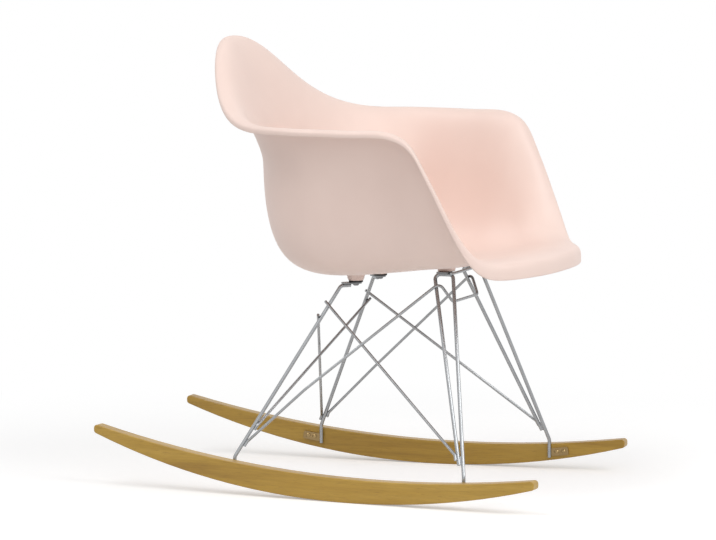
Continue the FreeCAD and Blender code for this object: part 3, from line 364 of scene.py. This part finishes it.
def ring_mesh(name, rows, first_pole, last_pole):
    """A mesh of quads between rows of closed rings, with a fan from each end's ring to its pole."""
    count, around = rows.shape[:2]
    points = rows.reshape(-1, 3)
    row, column = np.meshgrid(np.arange(count - 1), np.arange(around), indexing="ij")
    here = row * around + column
    there = row * around + (column + 1) % around
    quads = np.stack([here, there, there + around, here + around], axis=-1)
    faces = quads.reshape(-1, 4).tolist()
    for pole, ring, flip in ((first_pole, 0, True), (last_pole, count - 1, False)):
        points = np.vstack([points, pole])
        here = ring * around + np.arange(around)
        there = np.roll(here, -1)
        fan = [there, here] if flip else [here, there]
        faces += np.column_stack([*fan, np.full(around, len(points) - 1)]).tolist()
    mesh = bpy.data.meshes.new(name)
    mesh.from_pydata((points * MM).tolist(), [], faces)
    mesh.update()
    return mesh


def outward_faces(mesh):
    """Turns the mesh inside out where its signed volume, a sum of triple products, is negative."""
    corners = np.empty(len(mesh.vertices) * 3)
    mesh.vertices.foreach_get("co", corners)
    corners = corners.reshape(-1, 3)
    mesh.calc_loop_triangles()
    loops = np.empty(len(mesh.loop_triangles) * 3, int)
    mesh.loop_triangles.foreach_get("vertices", loops)
    a, b, c = corners[loops.reshape(-1, 3)].transpose(1, 0, 2)
    if np.einsum("ij,ij->i", a, np.cross(b, c)).sum() < 0:
        mesh.flip_normals()


def finished(name, mesh, material, replaced):
    """Smooth shaded object at the origin that rides on the chair and stands for its CAD nodes."""
    outward_faces(mesh)
    mesh.shade_smooth()
    piece = bpy.data.objects.new(name, mesh)
    bpy.context.scene.collection.objects.link(piece)
    mesh.materials.append(material)
    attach(piece, "root")
    if replaced:
        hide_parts(*replaced)


def new_material(name):
    """A material with its node tree and its shader."""
    material = bpy.data.materials.new(name)
    material.use_nodes = True
    return material, material.node_tree, material.node_tree.nodes["Principled BSDF"]


def linear(red, green, blue):
    """Screen colour from 0 to 255 as the linear colour of a shader, by the curve of screens.

    A share s up to 0.04045 becomes s / 12.92, and a greater one ((s + 0.055) / 1.055)^2.4.
    """
    share = np.array([red, green, blue]) / 255
    value = np.where(share <= 0.04045, share / 12.92, ((share + 0.055) / 1.055) ** 2.4)
    return (*value.tolist(), 1.0)


def object_noise(tree, scale, detail, stretch=(1, 1, 1), distortion=0.0):
    """Noise on Object coordinates, drawn out along an axis where its stretch is under 1."""
    coordinates = tree.nodes.new("ShaderNodeTexCoord")
    mapping = tree.nodes.new("ShaderNodeMapping")
    mapping.inputs["Scale"].default_value = stretch
    noise = tree.nodes.new("ShaderNodeTexNoise")
    noise.inputs["Scale"].default_value = scale
    noise.inputs["Detail"].default_value = detail
    noise.inputs["Distortion"].default_value = distortion
    tree.links.new(coordinates.outputs["Object"], mapping.inputs["Vector"])
    tree.links.new(mapping.outputs["Vector"], noise.inputs["Vector"])
    return noise.outputs["Fac"]


def colour_band(tree, source, stops):
    """Colour that runs in straight lines between stops, each a value of the source and a colour."""
    ramp = tree.nodes.new("ShaderNodeValToRGB")
    elements = ramp.color_ramp.elements
    elements[0].position, elements[0].color = stops[0]
    elements[1].position, elements[1].color = stops[-1]
    for place, colour in stops[1:-1]:
        elements.new(place).color = colour
    tree.links.new(source, ramp.inputs["Fac"])
    return ramp.outputs["Color"]


def two_tones(tree, shader, source, darker, lighter):
    """Base colour in a straight line from the darker to the lighter tone, between two noise values."""
    stops = [(TONE_START, linear(*darker)), (TONE_END, linear(*lighter))]
    tones = colour_band(tree, source, stops)
    tree.links.new(tones, shader.inputs["Base Color"])


def varied_gloss(tree, shader, source, smoothest, roughest):
    """Roughness that follows the noise in a straight line between two values."""
    span = tree.nodes.new("ShaderNodeMapRange")
    span.inputs["To Min"].default_value = smoothest
    span.inputs["To Max"].default_value = roughest
    tree.links.new(source, span.inputs["Value"])
    tree.links.new(span.outputs["Result"], shader.inputs["Roughness"])


def surface_bump(tree, shader, height, strength, distance):
    """Relief by the slope of the height, whose full range is the distance in metres."""
    bump = tree.nodes.new("ShaderNodeBump")
    bump.inputs["Strength"].default_value = strength
    bump.inputs["Distance"].default_value = distance
    tree.links.new(height, bump.inputs["Height"])
    tree.links.new(bump.outputs["Normal"], shader.inputs["Normal"])


def shaded(tree, colour, shade, strength):
    """The colour mixed with its product with the shade, by the strength."""
    mix = tree.nodes.new("ShaderNodeMixRGB")
    mix.blend_type = "MULTIPLY"
    mix.inputs["Fac"].default_value = strength
    tree.links.new(colour, mix.inputs["Color1"])
    tree.links.new(shade, mix.inputs["Color2"])
    return mix.outputs["Color"]


def moulded_plastic():
    """Pale rose plastic: a faint mottle in its colour, and a fine grain in its gloss and relief."""
    material, tree, shader = new_material("rose_moulded_plastic")
    mottle = object_noise(tree, scale=9.0, detail=3.0)
    two_tones(tree, shader, mottle, darker=(235, 211, 201), lighter=(239, 216, 206))
    flow = object_noise(tree, scale=70.0, detail=2.0)
    varied_gloss(tree, shader, flow, smoothest=0.43, roughest=0.48)
    grain = object_noise(tree, scale=420.0, detail=1.0)
    surface_bump(tree, shader, grain, strength=0.02, distance=0.0001)
    shader.inputs["Specular IOR Level"].default_value = 0.42
    return material


def lacquered_wood():
    """Honey coloured hardwood: growth bands, fibres and open pores, all drawn out along the runner.

    The colour of the bands is shaded by the fibres, then by the pores.
    """
    material, tree, shader = new_material("lacquered_hardwood")
    bands = object_noise(tree, scale=30.0, detail=3.0, stretch=(1.0, 0.06, 1.0), distortion=0.6)
    fibres = object_noise(tree, scale=420.0, detail=4.0, stretch=(1.0, 0.02, 1.0))
    pores = object_noise(tree, scale=900.0, detail=2.0, stretch=(1.0, 0.03, 1.0))
    late_wood, mid_wood, early_wood = linear(164, 126, 41), linear(183, 145, 52), linear(195, 158, 69)
    fibre_shade, pore_shade = (0.80, 0.77, 0.70, 1), (0.62, 0.56, 0.50, 1)
    growth = colour_band(tree, bands, [(0.30, late_wood), (0.50, mid_wood), (0.72, early_wood)])
    fibre_tone = colour_band(tree, fibres, [(0.35, fibre_shade), (0.65, WHITE)])
    pore_tone = colour_band(tree, pores, [(0.30, pore_shade), (0.40, WHITE)])
    grain = shaded(tree, growth, fibre_tone, strength=0.55)
    tree.links.new(shaded(tree, grain, pore_tone, strength=0.5), shader.inputs["Base Color"])
    surface_bump(tree, shader, fibres, strength=0.12, distance=0.0004)
    shader.inputs["Roughness"].default_value = 0.42
    shader.inputs["Coat Weight"].default_value = 0.25
    shader.inputs["Coat Roughness"].default_value = 0.25
    return material


def plated_metal(name, colour, roughness, brush_scale):
    """Metal a few levels lighter in places, with drawing marks in its relief and its gloss.

    The marks take the roughness up and down by the same share of it.
    """
    material, tree, shader = new_material(name)
    tint = object_noise(tree, scale=40.0, detail=2.0)
    two_tones(tree, shader, tint, darker=colour, lighter=[value + METAL_TINT_STEP for value in colour])
    marks = object_noise(tree, scale=brush_scale, detail=2.0)
    smoothest, roughest = roughness * (1 - METAL_GLOSS_SPREAD), roughness * (1 + METAL_GLOSS_SPREAD)
    varied_gloss(tree, shader, marks, smoothest, roughest)
    surface_bump(tree, shader, marks, strength=0.03, distance=0.0001)
    shader.inputs["Metallic"].default_value = 1.0
    return material


def black_rubber():
    """Matt rubber with a fine grain in its colour and relief."""
    material, tree, shader = new_material("black_rubber")
    grain = object_noise(tree, scale=500.0, detail=3.0)
    two_tones(tree, shader, grain, darker=(32, 32, 33), lighter=(48, 48, 48))
    surface_bump(tree, shader, grain, strength=0.2, distance=0.0003)
    shader.inputs["Roughness"].default_value = 0.75
    return material


def photo_camera():
    """Camera at a distance from a point over the floor, turned and tilted towards it and rolled.

    The roll mixes the level right and the upward vector by its cosine and sine.
    """
    right = np.array([np.sin(CAMERA_TURN), -np.cos(CAMERA_TURN), 0.0])
    ahead = np.array([
        np.cos(CAMERA_TURN) * np.cos(CAMERA_TILT),
        np.sin(CAMERA_TURN) * np.cos(CAMERA_TILT),
        -np.sin(CAMERA_TILT),
    ])
    above = np.cross(right, ahead)
    placed = np.eye(4)
    placed[:3, 0] = right * np.cos(CAMERA_ROLL) + above * np.sin(CAMERA_ROLL)
    placed[:3, 1] = above * np.cos(CAMERA_ROLL) - right * np.sin(CAMERA_ROLL)
    placed[:3, 2] = -ahead
    placed[:3, 3] = np.array([0.0, 0.0, CAMERA_TARGET_HEIGHT]) - ahead * CAMERA_DISTANCE
    optics = bpy.data.cameras.new("photo_camera")
    optics.sensor_width = SENSOR_WIDTH
    optics.lens = FOCAL_PIXELS / IMAGE_WIDTH * SENSOR_WIDTH
    optics.clip_end = CAMERA_REACH
    camera = bpy.data.objects.new("photo_camera", optics)
    camera.matrix_world = Matrix(placed.tolist())
    bpy.context.scene.collection.objects.link(camera)
    bpy.context.scene.camera = camera


def background_rays(tree):
    """1 for the rays that show the background: those of the camera, of gloss and of glass."""
    path = tree.nodes.new("ShaderNodeLightPath")
    first, second = (tree.nodes.new("ShaderNodeMath") for _ in range(2))
    first.operation = second.operation = "MAXIMUM"
    tree.links.new(path.outputs["Is Camera Ray"], first.inputs[0])
    tree.links.new(path.outputs["Is Glossy Ray"], first.inputs[1])
    tree.links.new(first.outputs["Value"], second.inputs[0])
    tree.links.new(path.outputs["Is Transmission Ray"], second.inputs[1])
    return second.outputs["Value"]


def product(tree, first, second):
    """Product of a value and a second value, which may be a number."""
    node = tree.nodes.new("ShaderNodeMath")
    node.operation = "MULTIPLY"
    for socket, value in zip(node.inputs, (first, second)):
        if isinstance(value, float):
            socket.default_value = value
        else:
            tree.links.new(value, socket)
    return node.outputs["Value"]


def floor_white():
    """Grey floor that glows a little in view and fades into plain white away from the middle.

    The share of white is a smooth step over the distance from the middle. It and the glow count
    only for the rays that show the background, so that they put no light on the chair.
    """
    material, tree, shader = new_material("studio_floor")
    shader.inputs["Base Color"].default_value = (FLOOR_GREY, FLOOR_GREY, FLOOR_GREY, 1)
    shader.inputs["Roughness"].default_value = 1.0
    shader.inputs["Specular IOR Level"].default_value = 0.0
    shader.inputs["Emission Color"].default_value = WHITE
    shown = background_rays(tree)
    tree.links.new(product(tree, shown, FLOOR_GLOW), shader.inputs["Emission Strength"])
    white = tree.nodes.new("ShaderNodeEmission")
    white.inputs["Color"].default_value = WHITE
    from_middle = tree.nodes.new("ShaderNodeVectorMath")
    from_middle.operation = "LENGTH"
    place = tree.nodes.new("ShaderNodeTexCoord")
    tree.links.new(place.outputs["Object"], from_middle.inputs[0])
    fade = tree.nodes.new("ShaderNodeMapRange")
    fade.interpolation_type = "SMOOTHSTEP"
    fade.inputs["From Min"].default_value = FADE_START
    fade.inputs["From Max"].default_value = FADE_END
    tree.links.new(from_middle.outputs["Value"], fade.inputs["Value"])
    mix = tree.nodes.new("ShaderNodeMixShader")
    tree.links.new(product(tree, shown, fade.outputs["Result"]), mix.inputs["Fac"])
    tree.links.new(shader.outputs["BSDF"], mix.inputs[1])
    tree.links.new(white.outputs["Emission"], mix.inputs[2])
    tree.links.new(mix.outputs["Shader"], tree.nodes["Material Output"].inputs["Surface"])
    return material


def studio_floor():
    """A level square under the chair, its corners at plus and minus half its side."""
    mesh = bpy.data.meshes.new("studio_floor")
    signs = ((-1, -1), (1, -1), (1, 1), (-1, 1))
    mesh.from_pydata([(x * FLOOR_HALF, y * FLOOR_HALF, 0) for x, y in signs], [], [(0, 1, 2, 3)])
    floor = bpy.data.objects.new("studio_floor", mesh)
    bpy.context.scene.collection.objects.link(floor)
    mesh.materials.append(floor_white())


def studio_world():
    """Even light from all round, seen as plain white by the rays that show the background."""
    world = bpy.data.worlds.new("studio_world")
    bpy.context.scene.world = world
    world.use_nodes = True
    tree = world.node_tree
    surround = tree.nodes["Background"]
    surround.inputs["Color"].default_value = WHITE
    surround.inputs["Strength"].default_value = SURROUND_LIGHT
    white = tree.nodes.new("ShaderNodeBackground")
    white.inputs["Color"].default_value = WHITE
    white.inputs["Strength"].default_value = 1.0
    mix = tree.nodes.new("ShaderNodeMixShader")
    tree.links.new(background_rays(tree), mix.inputs["Fac"])
    tree.links.new(surround.outputs["Background"], mix.inputs[1])
    tree.links.new(white.outputs["Background"], mix.inputs[2])
    tree.links.new(mix.outputs["Shader"], tree.nodes["World Output"].inputs["Surface"])


def soft_lamp(name, place, power):
    """A square lamp that faces the chair."""
    lamp = bpy.data.lights.new(name, "AREA")
    lamp.size = LAMP_WIDTH
    lamp.energy = power
    holder = bpy.data.objects.new(name, lamp)
    holder.location = place
    aim = Vector(LAMP_TARGET) - Vector(place)
    holder.rotation_euler = aim.to_track_quat("-Z", "Y").to_euler()
    bpy.context.scene.collection.objects.link(holder)


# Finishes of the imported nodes, by how their names start. The empty start is for the rest: the wires
# of the base, and the shell that its skin hides.

rose_plastic = moulded_plastic()
hardwood = lacquered_wood()
rubber = black_rubber()
brass = plated_metal("turned_brass", (190, 160, 92), roughness=0.3, brush_scale=500.0)
chrome = plated_metal("bright_chrome", (155, 157, 159), roughness=0.27, brush_scale=120.0)
plate_steel = plated_metal("plated_flat_steel", (128, 129, 130), roughness=0.34, brush_scale=160.0)
screw_steel = plated_metal("zinc_plated_steel", (126, 126, 128), roughness=0.34, brush_scale=300.0)
# The foot plates and their screws are plain steel; the brown in their colours is a painted reflection
# of the wooden runners beside them.
reflection_browned_plate = plated_metal("plate_steel_painted_wood_reflection", (152, 129, 90), roughness=0.42, brush_scale=160.0)
reflection_browned_screw = plated_metal("screw_steel_painted_wood_reflection", (158, 135, 94), roughness=0.38, brush_scale=300.0)

NODE_FINISHES = (
    ("rocker", hardwood),
    ("mount_pad", rubber),
    ("threaded_insert", brass),
    ("mount_plate", plate_steel),
    ("mount_screw", screw_steel),
    ("foot_plate", reflection_browned_plate),
    ("foot_screw", reflection_browned_screw),
    ("", chrome),
)

for node_name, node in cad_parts.items():
    finish = next(material for start, material in NODE_FINISHES if node_name.startswith(start))
    node.data.materials.clear()
    node.data.materials.append(finish)

# Skin of the seat shell and its bosses

rows, top_centre, under_centre = shell_surface()
shell_mesh = ring_mesh("seat_shell_skin", rows, top_centre, under_centre)
finished("seat_shell_skin", shell_mesh, rose_plastic, ["seat_shell"])

for number, boss_rows in enumerate(boss_surfaces(), start=1):
    name = f"shell_boss_{number}"
    cap, bore_end = boss_rows[0].mean(axis=0), boss_rows[-1].mean(axis=0)
    finished(name, ring_mesh(name, boss_rows, cap, bore_end), rose_plastic, [])

# Camera and studio

photo_camera()
studio_floor()
studio_world()
for lamp_name, lamp_place, lamp_power in LAMPS:
    soft_lamp(lamp_name, lamp_place, lamp_power)

bpy.context.scene.view_settings.view_transform = "Standard"
